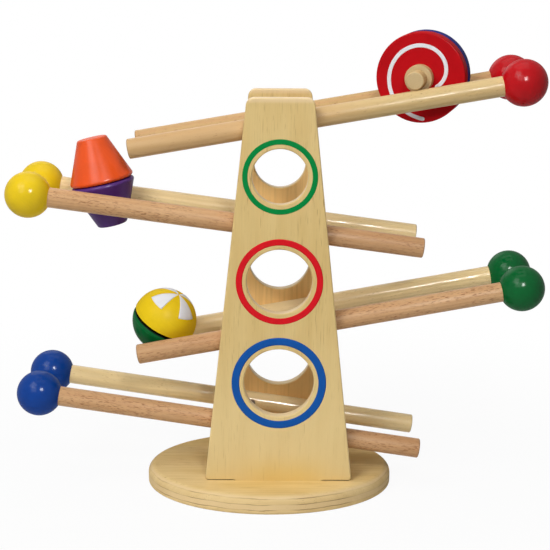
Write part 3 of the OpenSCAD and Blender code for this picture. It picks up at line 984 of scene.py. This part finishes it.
class RAMP_TOY_OT_spool(bpy.types.Operator):
    """Finish the disc spool: enamelled discs, bare axle and hubs, and a printed spiral on each disc"""

    bl_idname = "ramp_toy.spool"
    bl_label = "Disc spool"

    def execute(self, context):
        scene = context.scene
        woods, paints, marks = scene.ramp_toy_timbers, scene.ramp_toy_paints, scene.ramp_toy_marks
        centre = np.array(JOINTS["spool_roll"]["pos_m"])
        axis = unit(JOINTS["spool_roll"]["axis"])
        up = unit(np.cross(JOINTS["spool_travel"]["axis"], BACK))
        right = np.cross(axis, up)
        dress(enamel("red_disc_enamel", paints.red, DISC_GLOSS, seed=21.0), "spool_red_disc")
        dress(enamel("indigo_disc_enamel", paints.indigo, DISC_GLOSS, seed=23.0), "spool_blue_disc")
        dress(turned_wood("axle_wood", woods, centre, axis, "spool_axle", seed=12.0), "spool_axle")
        hub = turned_wood("hub_wood", woods, centre, axis, "spool_rear_hub", seed=17.0)
        dress(hub, "spool_front_hub", "spool_rear_hub")
        ink = printed("spiral_print", paints.white, seed=9.0)
        faces = (
            ("front_spiral", "spool_red_disc", -axis, right),
            ("rear_spiral", "spool_blue_disc", axis, -right),
        )
        for name, node, outward, aside in faces:
            reach = ((points(node) - centre) @ outward).max()
            plane = np.column_stack([aside, up, outward])
            grid = spiral(marks, centre + outward * reach, plane)
            skin(name, grid, ink, "spool_discs")
        return {"FINISHED"}


class RAMP_TOY_OT_double_cone(bpy.types.Operator):
    """Paint the double cone's two halves, and finish the dowel between them"""

    bl_idname = "ramp_toy.double_cone"
    bl_label = "Double cone"

    def execute(self, context):
        woods, paints = context.scene.ramp_toy_timbers, context.scene.ramp_toy_paints
        centre, axis = JOINTS["cone_turn"]["pos_m"], unit(JOINTS["cone_turn"]["axis"])
        dress(enamel("orange_enamel", paints.orange, ORANGE_GLOSS, seed=31.0), "orange_cone")
        dress(enamel("purple_enamel", paints.purple, PURPLE_GLOSS, seed=33.0), "purple_cone")
        wood = turned_wood("cone_dowel_wood", woods, centre, axis, "cone_dowel", seed=41.0)
        dress(wood, "cone_dowel")
        return {"FINISHED"}


# Painted shade in the gap between the ball's halves and a painted highlight along the green half's edge:
# heights from the ball's middle in millimetres
GAP_SHADE_FADE = (-3.2, -2.4)
GAP_SHADE_TONE = 0.03
GLINT_LINE_HEIGHT = -5.4
GLINT_LINE_HALF_WIDTH = (0.1, 0.5)
GLINT_LINE_SHARE = 0.3
GLINT_LINE_TONE = 2.5

# Petals: their number, points, steps, start as a share of their reach, and the power of their edge
PETALS = 4
PETAL_POINTS = 17
PETAL_STEPS = 40
PETAL_START = 0.02
PETAL_FALL = 30


def petal(marks, axes, radius, first):
    """Points of a petal, measured from the ball's middle. The angle from the pole grows along the petal,
    and the film's section lies across it in the angle round the pole. The film falls to nothing at
    the outer edge in a high power."""
    side, other, pole = axes
    across, rise = film_section(PETAL_POINTS)
    reach = np.linspace(PETAL_START, 1, PETAL_STEPS)[:, None] * marks.petal_reach
    fall = 1 - np.linspace(0, 1, PETAL_STEPS)[:, None] ** PETAL_FALL
    turn = first + across * marks.petal_width / 2
    out = radius + marks.film * rise * fall
    return (
        (out * np.sin(reach) * np.cos(turn))[..., None] * side
        + (out * np.sin(reach) * np.sin(turn))[..., None] * other
        + (out * np.cos(reach))[..., None] * pole
    )


class RAMP_TOY_OT_toy_ball(bpy.types.Operator):
    """Paint the toy ball's halves, finish its dowel, and print the petals round its upper pole"""

    bl_idname = "ramp_toy.toy_ball"
    bl_label = "Toy ball"

    def execute(self, context):
        scene = context.scene
        woods, paints, marks = scene.ramp_toy_timbers, scene.ramp_toy_paints, scene.ramp_toy_marks
        centre, pole = np.array(JOINTS["ball_turn"]["pos_m"]), unit(JOINTS["ball_turn"]["axis"])
        side = unit(np.cross(pole, np.cross(UP, pole)))
        axes = (side, np.cross(pole, side), pole)
        yellow = enamel("ball_yellow_enamel", paints.yellow, YELLOW_HALF_GLOSS, seed=43.0)
        dress(yellow, "yellow_ball_half")

        def gap_shade_and_glint(place, shown):
            along = components(millimetres(place, centre, axes_turn(*axes)))[2]
            # Painted highlight: a lighter green line along the outer edge of the green half's chamfer
            glint = 1 - between(abs(along - GLINT_LINE_HEIGHT), *GLINT_LINE_HALF_WIDTH)
            shown = blend(glint * GLINT_LINE_SHARE, shown, times(paints.green, GLINT_LINE_TONE))
            # Painted shade: the green half's face in the gap turns nearly black
            return blend(between(along, *GAP_SHADE_FADE), shown, times(paints.green, GAP_SHADE_TONE))

        green = enamel("ball_green_enamel", paints.green, GREEN_HALF_GLOSS, seed=47.0, change=gap_shade_and_glint)
        dress(green, "green_ball_half")
        wood = turned_wood("ball_dowel_wood", woods, centre, pole, "ball_dowel", seed=51.0)
        dress(wood, "ball_dowel")
        ink = printed("petal_print", paints.white, seed=13.0)
        radius = np.linalg.norm(points("yellow_ball_half") - centre, axis=1).max()
        for count in range(PETALS):
            first = marks.petal_first + count * 2 * math.pi / PETALS
            grid = centre + petal(marks, axes, radius, first)
            skin(f"petal_{count + 1}", grid, ink, "toy_ball")
        return {"FINISHED"}


# Each lamp's edge and place in metres. Only reflections show the gleam.
LAMPS = {
    "front": (0.12, (0.16, -0.80, 0.68)),
    "gleam": (0.22, (0.16, -0.80, 0.68)),
    "window": (1.0, (-0.85, -1.6, 1.3)),
    "left": (0.9, (-0.9, -0.9, 1.6)),
    "ceiling": (1.0, (0.0, 0.1, 1.5)),
    "back": (1.0, (-0.5, 1.5, 1.2)),
}


def lamp(name, watts, size, place, target):
    """A square lamp that faces a point."""
    light = bpy.data.lights.new(name, "AREA")
    light.energy = watts
    light.size = size
    holder = bpy.data.objects.new(name, light)
    holder.location = place
    holder.rotation_euler = (Vector(target) - Vector(place)).to_track_quat("-Z", "Y").to_euler()
    bpy.context.scene.collection.objects.link(holder)
    return holder


def seen_directly(wire):
    """1 for rays that come from the camera, a reflection or a view through glass."""
    path = wire.node("ShaderNodeLightPath", {}, {}, "Is Camera Ray")
    mirrored = path.maths("MAXIMUM", path.other("Is Glossy Ray"), path.other("Is Transmission Ray"))
    return path.maths("MAXIMUM", path, mirrored)


# Floor: lengths in metres, lit tones near the toy and far off, and the share of white that is seen
FLOOR_RADIUS = 3.0
FLOOR_STEPS = 96
FLOOR_DARKENS = (0.3, 0.9)
FLOOR_NEAR = (0.8, 0.8, 0.8)
FLOOR_FAR = (0.1, 0.1, 0.1)
FLOOR_WHITENS = (0.15, 0.6)
FLOOR_WHITE = (0.94, 1.0)
PAPER_FIBRE = Noise(6, 6, detail=3.0)
PAPER_SHADE = (0.99, 1.01)
PAPER_ROUGHNESS = (0.8, 0.9)
PAPER_RELIEF = 0.02


class RAMP_TOY_OT_stage(bpy.types.Operator):
    """Set the camera, the lamps, the white surround and the pale floor"""

    bl_idname = "ramp_toy.stage"
    bl_label = "Stage"

    def execute(self, context):
        scene = context.scene
        setting = scene.ramp_toy_stage
        scene.view_settings.view_transform = "Standard"
        self.camera(scene, setting)
        middle = (np.array(CAD_BOX[0]) + np.array(CAD_BOX[1])) / 2
        for tag, (size, place) in LAMPS.items():
            holder = lamp(f"{tag}_lamp", getattr(setting, tag), size, place, middle)
            holder.visible_diffuse = tag != "gleam"
        world = bpy.data.worlds.new("white_surround")
        world.use_nodes = True
        scene.world = world
        strength = spread(seen_directly(Wire(world.node_tree)), setting.sky, 1.0)
        put(world.node_tree.nodes["Background"], {"Color": (1, 1, 1, 1), "Strength": strength})
        self.floor(scene)
        return {"FINISHED"}

    def camera(self, scene, setting):
        """The camera looks down by the pitch and right by the yaw, and the picture turns clockwise
        by the roll."""
        pitch, yaw, roll = setting.pitch, setting.yaw, setting.roll
        right = np.array([math.cos(yaw), -math.sin(yaw), 0])
        level = np.array([math.sin(yaw), math.cos(yaw), 0])
        ahead = math.cos(pitch) * level - math.sin(pitch) * UP
        down = np.cross(ahead, right)
        turned = np.column_stack([
            math.cos(roll) * right - math.sin(roll) * down,
            -math.sin(roll) * right - math.cos(roll) * down,
            -ahead,
        ])
        view = bpy.data.cameras.new("view")
        view.lens = setting.lens
        holder = bpy.data.objects.new("view", view)
        place = Matrix(turned.tolist()).to_4x4()
        place.translation = (setting.camera_x, setting.camera_y, setting.camera_z)
        holder.matrix_world = place
        scene.collection.objects.link(holder)
        scene.camera = holder

    def floor(self, scene):
        """A round floor, pale near the toy and dark further off, so that little light comes back
        from there. The camera sees plain white, with a small share of the lit floor and the toy's
        shadow near the toy."""
        turn = np.linspace(0, 2 * math.pi, FLOOR_STEPS, endpoint=False)
        edge = FLOOR_RADIUS * np.stack([np.cos(turn), np.sin(turn), 0 * turn], axis=-1)
        mesh = bpy.data.meshes.new("floor")
        mesh.from_pydata(edge.tolist(), [], [list(range(FLOOR_STEPS))])
        material, shader, place = begin("floor_paper")
        far = place.node("ShaderNodeVectorMath", {"operation": "LENGTH"}, {"Vector": place}, "Value")
        fibre = grain(millimetres(place), PAPER_FIBRE, seed=1.0)
        sheet = blend(between(far, *FLOOR_DARKENS), FLOOR_NEAR, FLOOR_FAR)
        shown = shaded(sheet, spread(fibre, *PAPER_SHADE))
        connect(shader, shown, spread(fibre, *PAPER_ROUGHNESS), fibre, PAPER_RELIEF)
        put(shader, {"Specular IOR Level": 0.0})
        lit = Wire(place.tree, shader.outputs["BSDF"])
        white = place.node("ShaderNodeEmission", {}, {}, "Emission")
        share = seen_directly(place) * spread(between(far, *FLOOR_WHITENS), *FLOOR_WHITE)
        mix = place.node("ShaderNodeMixShader", {}, {0: share, 1: lit, 2: white})
        put(place.tree.nodes["Material Output"], {"Surface": mix})
        mesh.materials.append(material)
        floor = bpy.data.objects.new("floor", mesh)
        scene.collection.objects.link(floor)


STEPS = (
    RAMP_TOY_OT_base, RAMP_TOY_OT_plates, RAMP_TOY_OT_rails, RAMP_TOY_OT_end_balls, RAMP_TOY_OT_screws,
    RAMP_TOY_OT_spool, RAMP_TOY_OT_double_cone, RAMP_TOY_OT_toy_ball, RAMP_TOY_OT_stage,
)


class VIEW3D_PT_ramp_toy(bpy.types.Panel):
    """Steps that finish the toy"""

    bl_label = "Ramp toy"
    bl_space_type = "VIEW_3D"
    bl_region_type = "UI"
    bl_category = "Ramp toy"

    def draw(self, context):
        for step in STEPS:
            self.layout.operator(step.bl_idname)


GROUPS = {
    "ramp_toy_paints": RampToyPaints,
    "ramp_toy_timbers": RampToyTimbers,
    "ramp_toy_marks": RampToyMarks,
    "ramp_toy_stage": RampToyStage,
}
CLASSES = (*GROUPS.values(), *STEPS, VIEW3D_PT_ramp_toy)


def register():
    """Registers the classes and hangs the settings on the scene."""
    for made in CLASSES:
        bpy.utils.register_class(made)
    for name, group in GROUPS.items():
        setattr(bpy.types.Scene, name, bpy.props.PointerProperty(type=group))


def unregister():
    """Takes the settings and the classes away again."""
    for name in GROUPS:
        delattr(bpy.types.Scene, name)
    for made in reversed(CLASSES):
        bpy.utils.unregister_class(made)


def main():
    """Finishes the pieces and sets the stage."""
    register()
    for step in STEPS:
        group, name = step.bl_idname.split(".")
        getattr(getattr(bpy.ops, group), name)()


if __name__ == "__main__":
    main()
